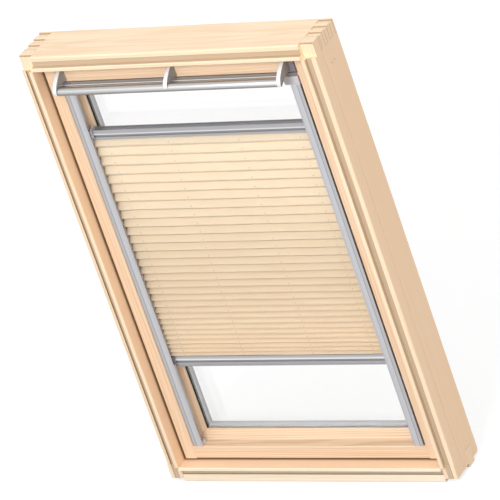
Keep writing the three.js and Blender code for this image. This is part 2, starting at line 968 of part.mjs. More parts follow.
// Rail glides: an end cap on the rail, a neck through the channel's mouth and a head inside it
for (const [rail, bottom, top, tab] of [
  ["top_rail", topRailBottom, topRailTop, glideTab],
  ["bottom_rail", bottomRailBottom, bottomRailTop, 0],
]) {
  const tall = about((bottom + top) / 2, glideHeight);
  const capStart = railHalfLength + jointGap;
  const headEnd = channelOuter - channelWall - slideGap;
  const headY = widened([channelFront, channelBack], -channelWall - slideGap);
  for (const [side, word] of sides) {
    const cap = box(
      span(side, capStart, capStart + glideCap),
      [railFront, railBack],
      [bottom, top + tab],
    );
    const neck = box(span(side, capStart, headEnd - glideHeadLength / 2), [railFront, headY[1]], tall);
    const head = box(span(side, headEnd - glideHeadLength, headEnd), headY, tall);
    darkPlastic(`${rail}_glide_${word}`, join(cap, neck, head));
  }
}

// Pleated cloth
// Every pleat has two panels of the same length. The cloth's weight opens the upper pleats more
// than the lower ones, so down the blind the pitch shrinks and the folds stand out further.
{
  const shares = [];
  for (let k = 0; k < pleatCount; k += 1) {
    const down = k / (pleatCount - 1);
    const closing = down * Math.sqrt(down);
    shares.push(THREE.MathUtils.lerp(widestPitchShare, narrowestPitchShare, closing));
  }
  const total = shares.reduce((sum, share) => sum + share, 0);
  const drop = topRailBottom - bottomRailTop;
  const left = [];
  const right = [];
  function place(y, z, half) {
    left.push([y - half, z]);
    right.push([y + half, z]);
  }
  // Half the cloth's thickness as it lies across a panel, measured level.
  const across = (pitch) => (clothThickness * pleatPanel) / pitch;
  const topBeadZ = topRailBottom + railWall + clothBeadRadius;
  const bottomBeadZ = bottomRailTop - railWall - clothBeadRadius;
  place(clothAt, topBeadZ, clothThickness / 2);
  let level = topRailBottom;
  shares.forEach((share) => {
    const pitch = (share * drop) / total;
    const out = Math.sqrt(pleatPanel ** 2 - (pitch / 2) ** 2) / 2;
    place(clothAt, level, across(pitch));
    place(clothAt + out, level - pitch / 4, across(pitch));
    place(clothAt - out, level - (3 * pitch) / 4, across(pitch));
    level -= pitch;
  });
  place(clothAt, level, clothThickness);
  place(clothAt, bottomBeadZ, clothThickness / 2);

  // A bead at each end keeps the cloth in the rail's slot.
  const beads = [topBeadZ, bottomBeadZ].map((height) =>
    rod("x", clothAt, height, clothBeadRadius, railX),
  );
  add(
    "pleated_cloth",
    join(extrude([...left, ...right.reverse()], "x", ...railX), ...beads),
    0xefdcb9,
    0,
    0.9,
  );
}

export default group;
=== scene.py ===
"""A pine roof window with a pleated blind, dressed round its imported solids.

Metres, in the frame of the solids: X across the window, Y from the room to the outside, Z up.
"""

import math

import bmesh
import bpy
import numpy as np
from mathutils import Matrix, Vector


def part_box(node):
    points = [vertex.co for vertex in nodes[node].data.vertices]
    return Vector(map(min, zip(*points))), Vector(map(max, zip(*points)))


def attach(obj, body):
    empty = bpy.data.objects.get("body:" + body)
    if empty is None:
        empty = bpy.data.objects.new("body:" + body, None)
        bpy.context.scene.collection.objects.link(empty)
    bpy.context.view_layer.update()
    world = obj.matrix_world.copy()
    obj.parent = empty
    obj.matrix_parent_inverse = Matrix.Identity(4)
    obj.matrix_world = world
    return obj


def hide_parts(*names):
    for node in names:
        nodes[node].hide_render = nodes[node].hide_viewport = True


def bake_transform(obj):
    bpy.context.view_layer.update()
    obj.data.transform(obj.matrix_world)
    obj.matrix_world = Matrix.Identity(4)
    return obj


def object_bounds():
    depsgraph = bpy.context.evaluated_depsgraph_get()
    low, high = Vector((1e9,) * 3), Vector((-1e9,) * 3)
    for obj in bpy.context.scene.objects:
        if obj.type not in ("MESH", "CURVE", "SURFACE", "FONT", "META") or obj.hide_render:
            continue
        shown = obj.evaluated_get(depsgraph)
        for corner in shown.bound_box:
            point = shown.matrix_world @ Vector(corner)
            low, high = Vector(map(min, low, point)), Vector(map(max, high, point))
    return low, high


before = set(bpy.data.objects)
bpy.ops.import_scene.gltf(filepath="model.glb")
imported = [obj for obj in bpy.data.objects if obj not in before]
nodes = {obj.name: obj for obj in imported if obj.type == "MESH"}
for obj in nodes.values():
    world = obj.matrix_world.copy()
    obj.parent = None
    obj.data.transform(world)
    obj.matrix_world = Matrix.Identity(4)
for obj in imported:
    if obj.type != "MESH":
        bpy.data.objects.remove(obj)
cad_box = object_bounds()
scene = bpy.context.scene
scene.view_settings.view_transform = "Standard"

# Camera
# It stands high on the right of the room side, far off, with a long lens, as in the photograph.
camera_place = (6.43725, -8.93074, 6.26415)
camera_right = Vector((0.85419, 0.42702, -0.29667))
camera_up = Vector((0.01914, 0.54435, 0.83864))
lens_mm, sensor_mm = 387.04, 36


def placed(name, data):
    """A new object of this name in the scene."""
    made = bpy.data.objects.new(name, data)
    scene.collection.objects.link(made)
    return made


camera = placed("camera", bpy.data.cameras.new("camera"))
scene.camera = camera
axes = Matrix((camera_right, camera_up, camera_right.cross(camera_up))).transposed()
camera.matrix_world = Matrix.Translation(camera_place) @ axes.to_4x4()
camera.data.lens = lens_mm
camera.data.sensor_width = sensor_mm
camera.data.clip_start, camera.data.clip_end = 0.5, 200


# Studio
# A white room with a large soft lamp high in front and a weak one on the right. The world is
# white where the camera looks at it, lights the window evenly from all round, and is mirrored
# as a room that is brightest in front on the left and dark low behind on the right.
class Value:
    """A socket taken as a number: arithmetic on it adds Math nodes."""

    def __init__(self, tree, socket):
        self.tree, self.socket = tree, socket

    def maths(self, operation, *terms):
        return self.tree.node("Math", {"operation": operation}, dict(enumerate(terms)))

    def __add__(self, other):
        return self.maths("ADD", self, other)

    def __sub__(self, other):
        return self.maths("SUBTRACT", self, other)

    def __rsub__(self, other):
        return self.maths("SUBTRACT", other, self)

    def __mul__(self, other):
        return self.maths("MULTIPLY", self, other)

    def __pow__(self, other):
        return self.maths("POWER", self, other)

    def __lt__(self, other):
        return self.maths("LESS_THAN", self, other)

    def __gt__(self, other):
        return self.maths("GREATER_THAN", self, other)

    def __abs__(self):
        return self.maths("ABSOLUTE", self)

    def sine(self):
        return self.maths("SINE", self)

    def fraction(self):
        return self.maths("FRACT", self)

    def least(self, other):
        return self.maths("MINIMUM", self, other)

    def most(self, other):
        return self.maths("MAXIMUM", self, other)

    def inside(self, low, high):
        return (self > low) * (self < high)

    def rise(self, low, high):
        """A smooth step from 0 at low to 1 at high."""
        settings = {"interpolation_type": "SMOOTHSTEP"}
        return self.tree.node("MapRange", settings, {0: self, 1: low, 2: high})

    __radd__, __rmul__ = __add__, __mul__


class Tree:
    """A node tree that is emptied, then built node by node."""

    def __init__(self, owner):
        owner.use_nodes = True
        self.tree = owner.node_tree
        self.tree.nodes.clear()

    def node(self, kind, settings, sockets, output=0):
        """Adds a shader node, changes its settings, then fills or links its sockets."""
        made = self.tree.nodes.new("ShaderNode" + kind)
        for key, value in settings.items():
            setattr(made, key, value)
        for key, value in sockets.items():
            if isinstance(value, Value):
                self.tree.links.new(value.socket, made.inputs[key])
            else:
                made.inputs[key].default_value = value
        return Value(self, made.outputs[output]) if made.outputs else None

    def parts(self, place):
        """The three numbers of a place, along X, Y and Z."""
        split = self.node("SeparateXYZ", {}, {0: place})
        return [Value(self, output) for output in split.socket.node.outputs]

    def mix(self, share, first, second):
        """The first colour, with a share of the second laid over it."""
        sockets = {0: share, 6: first, 7: second}
        return self.node("Mix", {"data_type": "RGBA"}, sockets, 2)

    def noise(self, place, scale, detail=2.0, stretch=(1.0, 1.0, 1.0)):
        """Noise of so many blotches to the metre, drawn out along the axes."""
        drawn = self.node("VectorMath", {"operation": "MULTIPLY"}, {0: place, 1: stretch})
        sockets = {"Vector": drawn, "Scale": scale, "Detail": detail}
        return self.node("TexNoise", {}, sockets)


def ray_kinds(tree):
    """Whether a ray comes straight or through glass from the camera, or from a mirror."""
    camera_ray = tree.node("LightPath", {}, {}, "Is Camera Ray")
    outputs = camera_ray.socket.node.outputs
    seen = camera_ray.most(Value(tree, outputs["Is Transmission Ray"]))
    return seen, Value(tree, outputs["Is Glossy Ray"]) * (1 - seen)


ambient = 0.8
mirror_way, mirror_even, mirror_swing = (-0.52, -0.756, 0.395), 0.58, 0.52
world = bpy.data.worlds.new("studio")
scene.world = world
tree = Tree(world)
seen, mirrored = ray_kinds(tree)
way = tree.node("TexCoord", {}, {}, "Generated")
facing = tree.node("VectorMath", {"operation": "DOT_PRODUCT"}, {0: way, 1: mirror_way}, "Value")
room = facing * mirror_swing + (mirror_even - ambient)
strength = ambient + seen * (1 - ambient) + mirrored * room
sky = tree.node("Background", {}, {"Color": (1, 1, 1, 1), "Strength": strength})
tree.node("OutputWorld", {}, {"Surface": sky})


def lamp(name, place, aim, width, level):
    """A square lamp that adds so much of a white surface's full brightness where it aims."""
    light = bpy.data.lights.new(name, "AREA")
    light.shape, light.size = "SQUARE", width
    away = Vector(place) - Vector(aim)
    light.energy = level * math.pi**2 * away.length_squared
    turn = away.to_track_quat("Z", "Y").to_matrix().to_4x4()
    placed(name, light).matrix_world = Matrix.Translation(place) @ turn


middle = (cad_box[0] + cad_box[1]) / 2
lamp("key", place=(1.0, -4.8, 4.0), aim=middle, width=2.2, level=0.58)
lamp("side", place=(5.2, -1.2, 1.6), aim=middle, width=2.4, level=0.12)

# Floor
# A pale sheet that runs out far behind the window. It glows a little where the camera sees it,
# so that it is white, and keeps the window's soft shadow.
floor_half, floor_gap, floor_glow, mirror_glow = 60.0, 0.0005, 0.68, 0.3
paper_grey = (0.4, 0.4, 0.4, 1)
floor_level = cad_box[0].z - floor_gap
corners = np.array([(-1, -1, 0), (1, -1, 0), (1, 1, 0), (-1, 1, 0)]) * floor_half
floor_mesh = bpy.data.meshes.new("floor")
floor_mesh.from_pydata((corners + (0, 0, floor_level)).tolist(), [], [(0, 1, 2, 3)])
floor = placed("floor", floor_mesh)
material = bpy.data.materials.new("floor_paper")
tree = Tree(material)
seen, mirrored = ray_kinds(tree)
paper = tree.node("BsdfDiffuse", {}, {"Color": paper_grey})
shine = seen * floor_glow + mirrored * mirror_glow
glow = tree.node("Emission", {}, {"Color": (1, 1, 1, 1), "Strength": shine})
tree.node("OutputMaterial", {}, {"Surface": tree.node("AddShader", {}, {0: paper, 1: glow})})
floor_mesh.materials.append(material)

# Frame
# Four planed pine members with a thin clear lacquer. Each board is its own piece of the tree:
# its growth rings lie about a heart line at its own distance, and its fibres run along it.
def linear(red, green, blue):
    """A colour seen on a screen, 0 to 255, as Blender counts it."""
    return tuple(((c / 255 + 0.055) / 1.055) ** 2.4 for c in (red, green, blue)) + (1.0,)


def finish(name, build):
    """A material whose shader is filled by build(tree), a dict of sockets and an optional bump."""
    material = bpy.data.materials.new(name)
    tree = Tree(material)
    sockets = build(tree)
    bump = sockets.pop("bump", None)
    if bump is not None:
        height, distance = bump
        sockets["Normal"] = tree.node(
            "Bump", {}, {"Height": height, "Distance": distance, "Strength": 1.0}
        )
    surface = tree.node("BsdfPrincipled", {}, sockets)
    tree.node("OutputMaterial", {}, {"Surface": surface})
    return material


ring_width, ring_sway, late_sharpness = 0.0052, 0.045, 3
fibre_share, streak_share, cloud_share = 0.2, 0.4, 0.2
frame_pine = (linear(255, 236, 207), linear(238, 199, 158))
# The bottom member's paler tones are painted light.
painted_light_pine = (linear(255, 247, 226), linear(250, 218, 182))
shade_and_joint_pine, warm_shade_pine = linear(150, 124, 98), linear(250, 212, 174)


def pine(name, along, heart, tones, shade_and_joint_share=None, tan=None, figure=0.22):
    """Growth rings are a sine of the distance from the heart line, which noise sways slowly along
    the board, raised to a power so that the dark late wood is the thin part. Streaks and fibres
    are noise drawn out sixty to seventy times along the board. raw(x, y, z) is the share of the
    dark tone, which is painted shade and dark joint lines, and tan(x, y, z) that of the redder
    one, which is painted warm shade. figure is how strongly the late wood shows."""

    def build(tree):
        place = tree.node("TexCoord", {}, {}, "Object")
        turn = (0, -math.pi / 2, 0) if along == "x" else (0, 0, 0)
        board = tree.node("Mapping", {}, {"Vector": place, "Rotation": turn, "Location": heart})
        sway = tree.noise(board, 9, 2, (1, 1, 0.12))
        level = tree.node("VectorMath", {"operation": "MULTIPLY"}, {0: board, 1: (1, 1, 0)})
        radius = tree.node("VectorMath", {"operation": "LENGTH"}, {0: level}, 1)
        turns = (radius + sway * ring_sway) * (2 * math.pi / ring_width)
        late = (turns.sine() * 0.5 + 0.5) ** late_sharpness
        streak = tree.noise(board, 190, 3, (1, 1, 0.014)).rise(0.35, 0.75)
        fibre = tree.noise(board, 900, 3, (1, 1, 0.016))
        cloud = tree.noise(board, 6, 2, (1, 1, 0.3))
        share = late * figure + fibre * fibre_share + streak * streak_share + cloud * cloud_share
        colour = tree.mix(share, *tones)
        if shade_and_joint_share:
            spot = tree.parts(place)
            colour = tree.mix(tan(*spot), colour, warm_shade_pine)
            colour = tree.mix(shade_and_joint_share(*spot), colour, shade_and_joint_pine)
        return {
            "Base Color": colour,
            "Roughness": fibre * 0.16 + 0.42,
            "Coat Weight": 0.08,
            "Coat Roughness": 0.3,
            "bump": (fibre * 0.6 + late * 0.4, 0.00012),
        }

    return finish(name, build)


merge_gap = 0.00001
sharpest_left = math.radians(35)


def ease(piece, width):
    """Rounds a piece's sharp edges by so much."""
    bevel = piece.modifiers.new("ease", "BEVEL")
    bevel.width, bevel.segments = width, 2
    bevel.limit_method, bevel.angle_limit = "ANGLE", sharpest_left


def dress(node, material, width=0.0):
    """Gives a CAD node its finish, and eases its sharp edges by so much."""
    mesh = nodes[node].data
    mesh.materials.clear()
    mesh.materials.append(material)
    if width:
        weld = nodes[node].modifiers.new("weld", "WELD")
        weld.merge_threshold = merge_gap
        ease(nodes[node], width)


timber_ease = 0.0006
side_inner, top_inner, bottom_inner = 0.356, 1.145, 0.045
room_face = -0.0625
face_skin, side_skin, top_skin = 0.0004, 0.3893, 1.1762
groove_across, groove_corner = (0.0098, 0.0237), (0.0218, 0.0237)
groove_depths = (room_face + 0.002, room_face + 0.0122)
gap_depths = (-0.032, -0.024)
side_groove_depth, side_groove_half, side_groove_skin = -0.0165, 0.0013, 0.3872
finger_edges = (-0.0425, -0.0175, -0.01125, 0.0025, 0.015, 0.02875, 0.0425, 0.05625)
joint_half = 0.0006
# Shares of painted shade: in the lining groove, a shadow line in its corner, in the reveal's
# hidden gap, on the reveal and along the groove down the outside. comb_dark is for the comb's dark
# joint lines.
groove_dark, corner_dark, gap_dark, reveal_dark = 0.52, 0.85, 0.9, 0.06
comb_dark, side_groove_dark, warm_shade_share = 0.7, 0.12, 0.75


def shade_and_joint_lines(across):
    """The share of the dark tone on a frame member: painted shade in the lining groove, a painted
    shadow line in its corner, painted shade on the reveal and more in its hidden depth, the dark
    joint lines of the comb, and faint painted shade along the groove down the outside. Each share
    follows the photograph."""

    def shade_and_joint_share(x, y, z):
        out = across(abs(x), z)
        reveal = out < face_skin
        groove = out.inside(*groove_across) * y.inside(*groove_depths)
        corner = out.inside(*groove_corner) * y.inside(*groove_depths)
        gap = reveal * y.rise(*gap_depths)
        line = abs(y - finger_edges[0])
        for edge in finger_edges[1:]:
            line = line.least(abs(y - edge))
        shown = (z > top_skin).most(abs(x) > side_skin)
        comb = (line < joint_half) * (abs(x) > side_inner) * (z > top_inner) * shown
        side_groove = (abs(y - side_groove_depth) < side_groove_half) * (abs(x) > side_groove_skin) * (z < top_inner)
        inner = (groove * groove_dark).most(corner * corner_dark)
        inner = inner.most(gap * gap_dark).most(reveal * reveal_dark)
        return inner.most(comb * comb_dark).most(side_groove * side_groove_dark)

    return shade_and_joint_share


def warm_shade_faces(across):
    """The share of the redder tone, a painted warm shade, on the side members' outsides and on
    every reveal.
    """

    def tan(x, y, z):
        return (abs(x) > side_skin).most(across(abs(x), z) < face_skin) * warm_shade_share

    return tan


for node, along, heart, tones, across in (
    ("frame_left", "z", (0.31, 0.13, 0.2), frame_pine, lambda x, z: x - side_inner),
    ("frame_right", "z", (-0.47, 0.09, 1.7), frame_pine, lambda x, z: x - side_inner),
    ("frame_top", "x", (-1.02, 0.1, 3.1), frame_pine, lambda x, z: z - top_inner),
    ("frame_bottom", "x", (0.12, -0.1, 4.3), painted_light_pine, lambda x, z: bottom_inner - z),
):
    shades = shade_and_joint_lines(across), warm_shade_faces(across)
    timber = pine("pine_" + node, along, heart, tones, *shades)
    dress(node, timber, timber_ease)

# Sash
# The same timber: two stiles and two rails, rebated for the glass and moulded down to it. The
# lower rail shows the strongest figure, as in the photograph.
sash_pine = (linear(249, 221, 190), linear(222, 183, 146))
for node, along, heart, figure in (
    ("sash_left", "z", (0.42, -0.11, 5.2), 0.22),
    ("sash_right", "z", (-0.25, -0.12, 6.1), 0.22),
    ("sash_top", "x", (-1.2, 0.12, 7.4), 0.22),
    ("sash_bottom", "x", (-0.16, 0.11, 8.3), 0.5),
):
    dress(node, pine("pine_" + node, along, heart, sash_pine, figure=figure), timber_ease)

# Glass
# Two clear float panes with a folded metal spacer between them. They lie between gaskets of
# soft black rubber, and drawn metal beads hold them in the sash from outside.
def clear(tree):
    smear = tree.noise(tree.node("TexCoord", {}, {}, "Object"), 14, 3)
    return {
        "Base Color": (1, 1, 1, 1),
        "Roughness": smear * 0.01,
        "Transmission Weight": 1.0,
        "IOR": 1.45,
    }


def rubber(tree):
    place = tree.node("TexCoord", {}, {}, "Object")
    dust = tree.noise(place, 60, 4)
    skin = tree.noise(place, 1500, 2)
    return {
        "Base Color": tree.mix(dust, linear(26, 26, 28), linear(52, 52, 54)),
        "Roughness": dust * 0.2 + 0.6,
        "bump": (skin, 0.00005),
    }


clear_glass = finish("clear_glass", clear)
black_rubber = finish("black_rubber", rubber)
for node in ("inner_pane", "outer_pane"):
    dress(node, clear_glass)
dress("weather_seal", black_rubber)


def quads(index):
    """The four-cornered faces between neighbouring rows and columns of point numbers."""
    corners = [index[:-1, :-1], index[1:, :-1], index[1:, 1:], index[:-1, 1:]]
    return np.stack(corners, axis=-1).reshape(-1, 4)


def skin(name, points, caps=False):
    """A closed skin over a grid of points whose rows are loops. The last loop joins the first,
    or with caps each end is closed by one face. Its faces are turned outwards."""
    rows, columns = points.shape[:2]
    index = np.arange(rows * columns).reshape(rows, columns)
    ends = [index[0].tolist(), index[-1].tolist()] if caps else []
    if not caps:
        index = np.vstack([index, index[:1]])
    faces = quads(np.hstack([index, index[:, :1]]))
    mesh = bpy.data.meshes.new(name)
    mesh.from_pydata(points.reshape(-1, 3).tolist(), [], faces.tolist() + ends)
    work = bmesh.new()
    work.from_mesh(mesh)
    bmesh.ops.recalc_face_normals(work, faces=work.faces)
    work.to_mesh(mesh)
    work.free()
    return placed(name, mesh)


def ring(name, opening, section):
    """A section carried round a rectangle: each of the four mitred corners holds it once, at
    the corner plus its distance outwards along both sides."""
    half_width, low, high = opening
    out, depth = np.array(section).T
    points = np.zeros((4, len(section), 3))
    for k, (right, up) in enumerate(((-1, 0), (1, 0), (1, 1), (-1, 1))):
        points[k, :, 0] = right * (half_width + out)
        points[k, :, 1] = depth
        points[k, :, 2] = high + out if up else low - out
    return skin(name, points)


def stand_in(piece, node, body, material, width=0.0):
    """Puts a finished piece in the place of a CAD node."""
    piece.data.materials.append(material)
    if width:
        ease(piece, width)
    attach(piece, body)
    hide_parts(node)


# Half the width, the lower edge and the upper edge of the sash's opening.
daylight = (0.292, 0.108, 1.0645)


def opening(side, bottom):
    """The sash's opening, let in by so much at the sides and top, and at the bottom."""
    half_width, low, high = daylight
    return half_width - side, low + bottom, high - side


def strip(thin, front, back):
    """A flat strip from an opening's edge outwards."""
    return [(0, front), (0, back), (thin, back), (thin, front)]


def darkened(colour, left):
    """A colour with this share of its light left."""
    return tuple(part * left for part in colour[:3]) + (1.0,)


def metal(name, colour, along, roughness, polish=1.0, marks_and_shade=None):
    """Drawn metal: noise drawn out a hundred times along the section varies its tone and its
    roughness. worn(x, y, z) is the share of a darker tone: real slots and sealant on the spacer,
    painted shade on the other pieces."""

    def build(tree):
        place = tree.node("TexCoord", {}, {}, "Object")
        stretch = {"x": (0.01, 1, 1), "z": (1, 1, 0.01)}[along]
        lines = tree.noise(place, 1800, 2, stretch)
        cloud = tree.noise(place, 25, 3)
        tone = tree.mix(lines * 0.6 + cloud * 0.4, colour, darkened(colour, 0.86))
        if marks_and_shade:
            tone = tree.mix(marks_and_shade(*tree.parts(place)), tone, darkened(colour, 0.3))
        return {
            "Base Color": tone,
            "Metallic": polish,
            "Roughness": lines * 0.14 + cloud * 0.08 + (roughness - 0.1),
            "bump": (lines, 0.00002),
        }

    return finish(name, build)


sealant_depths, sealant_skin = (0.0228, 0.0262), 0.2895
slot_depths = (0.0338, 0.0360)


def slots_line(x, y, z):
    """The row of fine slots along the spacer, and the black sealant on its room edge at the
    sides."""
    sealant = y.inside(*sealant_depths) * (abs(x) > sealant_skin) * 0.9
    return (y.inside(*slot_depths) * 0.15).most(sealant)


spacer_metal = metal("spacer_metal", linear(255, 255, 255), "z", 0.6, 0.0, slots_line)
bead_metal = metal("bead_metal", linear(236, 236, 240), "z", 0.5, 0.3)
inner_strip = strip(thin=0.0125, front=0.0158, back=0.0185)
spacer_strip = strip(thin=0.0125, front=0.0231, back=0.0371)
outer_strip = strip(thin=0.007, front=0.0417, back=0.0444)
inner_gasket = ring("inner_gasket_ring", opening(side=0.0015, bottom=-0.0022), inner_strip)
spacer = ring("glass_spacer_ring", opening(side=0.002, bottom=0.0015), spacer_strip)
outer_gasket = ring("outer_gasket_ring", opening(side=-0.005, bottom=-0.005), outer_strip)
stand_in(inner_gasket, "inner_gasket", "sash", black_rubber)
stand_in(spacer, "glass_spacer", "sash", spacer_metal)
stand_in(outer_gasket, "outer_gasket", "sash", black_rubber)
for side in ("left", "right", "bottom", "top"):
    dress("glazing_bead_" + side, bead_metal)

# Hinges and lock
# Zinc-plated steel, stamped. The plates, arms, lock case and striker are let into the timber,
# and flat spring clips hold the side channels off the stiles.
plated = metal("plated_steel", linear(170, 172, 176), "z", 0.42)
for side in ("left", "right"):
    dress("pivot_plate_" + side, plated, 0.0003)
    dress("pivot_arm_" + side, plated, 0.0003)
    dress(f"channel_clip_{side}_lower", plated, 0.0003)
    dress(f"channel_clip_{side}_upper", plated, 0.0003)
for node in ("lock_case", "latch_tongue", "striker_plate"):
    dress(node, plated, 0.0003)


# Flap
# A pine board between two moulded grey end caps, whose pins carry it in the stiles. A grey
# cover lies over each hinge, and a dark foam filter behind the board.
def moulded(name, colour, roughness):
    """Moulded plastic: a fine even grain, and a faint cloudiness of the colour."""

    def build(tree):
        place = tree.node("TexCoord", {}, {}, "Object")
        grain = tree.noise(place, 2500, 2)
        cloud = tree.noise(place, 40, 3)
        return {
            "Base Color": tree.mix(cloud, colour, darkened(colour, 0.85)),
            "Roughness": grain * 0.12 + roughness,
            "bump": (grain, 0.00003),
        }

    return finish(name, build)


dress("ventilation_flap", pine("pine_flap", "x", (0.2, 0.14, 9.1), sash_pine), timber_ease)
grey_plastic = moulded("grey_plastic", linear(134, 126, 131), 0.45)
light_plastic = moulded("light_plastic", linear(214, 209, 213), 0.42)
dark_plastic = moulded("dark_plastic", linear(72, 72, 78), 0.42)
for side in ("left", "right"):
    dress("flap_end_cap_" + side, grey_plastic, 0.0004)
    dress("flap_hinge_cover_" + side, grey_plastic, 0.0003)
dress("air_filter", dark_plastic)


def drawn(name, section, ends):
    """A section of depths and heights drawn out straight across the window."""
    points = np.zeros((2, len(section), 3))
    points[..., 0] = np.array(ends)[:, None]
    points[..., 1:] = section
    return skin(name, points, caps=True)


# A thin dark angle lies in the gap under the flap, on the front and the seat of the head rail: a
# dark sheet of painted shade.
gap_shade_grey = moulded("gap_shade_grey", linear(158, 150, 142), 0.6)
gap_shade_front, seat_height, gap_shade_thickness = -0.0305, 1.0975, 0.0005
gap_shade_drop, gap_shade_reach, gap_shade_half = 0.0072, 0.013, 0.2855
gap_shade_section = [
    (gap_shade_front - gap_shade_thickness, seat_height - gap_shade_drop),
    (gap_shade_front, seat_height - gap_shade_drop),
    (gap_shade_front, seat_height),
    (gap_shade_front + gap_shade_reach, seat_height),
    (gap_shade_front + gap_shade_reach, seat_height + gap_shade_thickness),
    (gap_shade_front - gap_shade_thickness, seat_height + gap_shade_thickness),
]
flap_gap_shade = drawn("flap_gap_shade", gap_shade_section, (-gap_shade_half, gap_shade_half))
flap_gap_shade.data.materials.append(gap_shade_grey)
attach(flap_gap_shade, "sash")

# Control bar and its three brackets
# A drawn aluminium shell with a web and a fin along its back, anodised. Three cast brackets
# hold it to the flap.
smooth_below = math.radians(32)


def smoothed(node, body, material, width):
    """Stands in for a CAD node with a merged copy of it, shaded smooth over its round faces."""
    piece = placed(node + "_smooth", nodes[node].data.copy())
    piece.data.materials.clear()
    work = bmesh.new()
    work.from_mesh(piece.data)
    bmesh.ops.remove_doubles(work, verts=work.verts, dist=merge_gap)
    work.to_mesh(piece.data)
    work.free()
    piece.data.shade_smooth()
    piece.data.set_sharp_from_angle(angle=smooth_below)
    stand_in(piece, node, body, material, width)


valley_depths, valley_back = (-0.0765, -0.070), -0.0590
crown_heights, crown_back = (1.1053, 1.1078), -0.069
underside_heights, underside_back = (1.0955, 1.1025), -0.078


def painted_bar_shade(x, y, z):
    """The valley between the shell and the fin, the shell's top and its underside carry painted
    shade, as in the photograph."""
    valley = y.rise(*valley_depths) * (y < valley_back) * 0.8
    crown = z.rise(*crown_heights) * (y < crown_back) * 0.42
    underside = (1 - z.rise(*underside_heights)) * (y < underside_back) * 0.8
    return valley.most(crown).most(underside)


bar_metal = metal("bar_metal", linear(238, 237, 237), "x", 0.3, marks_and_shade=painted_bar_shade)
smoothed("control_bar", "flap_and_bar", bar_metal, 0.0002)
edge_half = 0.0051
for place, at in (("left", 0.2975), ("centre", 0.0), ("right", 0.2975)):

    def shaded_flanks(x, y, z):
        """A bracket's flanks carry painted shade, and its edge is left pale as a painted
        highlight, as in the photograph.
        """
        return (abs(abs(x) - at) > edge_half) * 0.95

    cast = metal("cast_aluminium_" + place, linear(243, 242, 243), "z", 0.4, 0.3, shaded_flanks)
    smoothed("bar_bracket_" + place, "flap_and_bar", cast, 0.0004)

# Side channels
# Drawn aluminium with a fine groove down the front, with moulded caps at the top and feet at the
# bottom. A painted highlight runs down its middle, with painted shade at its edges and in the
# groove.
channel_inner, channel_width, channel_front = 0.288, 0.025, -0.0296
highlight_rise, highlight_fall, groove_band, lip_share = (0.02, 0.32), (0.5, 0.78), (0.62, 0.72), 0.016


def channel_painted_light(x, y, z):
    """A painted highlight down the middle fades to painted shade at the edges, and painted shade
    makes the groove a dark line on the outer side, as in the photograph. The bands are shares of
    the channel's width."""
    across = (abs(x) - channel_inner) * (1 / channel_width)
    crown = across.rise(*highlight_rise) * (1 - across.rise(*highlight_fall))
    groove = across.inside(*groove_band) * (y < channel_front)
    return ((1 - crown) * (across > lip_share) * 0.2).most(groove * 0.5)


channel_metal = metal("channel_metal", linear(234, 235, 240), "z", 0.34, marks_and_shade=channel_painted_light)
for side in ("left", "right"):
    dress("side_channel_" + side, channel_metal, 0.0003)
    dress("channel_cap_" + side, light_plastic, 0.0006)
    dress("channel_foot_" + side, light_plastic, 0.0004)

# Rails
# Two drawn aluminium sections, each with a ridge and a groove along its front and a slot that
# grips the cloth, and a moulded glide at each end.
rail_front, rail_half = -0.0215, 0.2855
front_skin, top_wall, ridge_height, no_open_top = 0.004, 0.0014, 0.0034, -1.0


def rail_painted_light(name, top, groove, inner_drop):
    """Drawn metal, as in the photograph: painted shade over the rest leaves the ridge above the
    groove as a painted highlight, and painted shade makes the groove and the inside of an open
    top, down to inner_drop, the darkest."""

    def marks_and_shade(x, y, z):
        drop = top - z
        front = y < rail_front + front_skin
        in_groove = drop.inside(*groove) * front
        in_top = (drop < inner_drop) * (y > rail_front + top_wall)
        ridge = drop.inside(groove[0] - ridge_height, groove[0]) * front
        return ((1 - ridge) * 0.45).most(in_groove * 0.8).most(in_top * 0.62)

    return metal(name, linear(242, 241, 244), "x", 0.34, marks_and_shade=marks_and_shade)


def rail_piece(node, body, outline, painted_bands):
    """A rail drawn from an outline of depths behind its front and drops below its top, in
    millimetres."""
    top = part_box(node)[1].z
    depth, drop = np.array(outline).T / 1000
    section = np.stack([rail_front + depth, top - drop], axis=1)
    piece = drawn(node + "_drawn", section, (-rail_half, rail_half))
    stand_in(piece, node, body, rail_painted_light(node + "_metal", top, *painted_bands), 0.0003)


top_rail_outline = [
    (0.8, 24.5), (8.7, 24.5), (8.7, 18.5), (11.3, 18.5), (11.3, 24.5), (20, 24.5), (20, 0),
    (18.4, 0), (18.4, 5.5), (2.2, 5.5), (2.2, 0), (0.6, 0),
    (0.9, 2), (0.9, 8), (0, 11.6), (0, 12.4), (2.8, 12.8), (2.8, 18), (0.4, 18.6), (0.4, 24),
]
bottom_rail_outline = [
    (-4, 24), (20, 24), (20, 0), (11.3, 0), (11.3, 6), (8.7, 6), (8.7, 0), (2.4, 0),
    (2, 0.6), (1.8, 4.6), (0, 9.2), (0, 10.4), (3, 10.8), (3, 16), (0.8, 16.6), (0.8, 22.4),
    (-4, 22.6),
]
rail_piece("top_rail", "upper_rail", top_rail_outline, ((0.0126, 0.0182), 0.0056))
rail_piece("bottom_rail", "lower_rail", bottom_rail_outline, ((0.0106, 0.0162), no_open_top))
glide_plastic = moulded("glide_plastic", linear(188, 184, 190), 0.42)
for side in ("left", "right"):
    dress("top_rail_glide_" + side, glide_plastic, 0.0004)
    dress("bottom_rail_glide_" + side, grey_plastic, 0.0004)

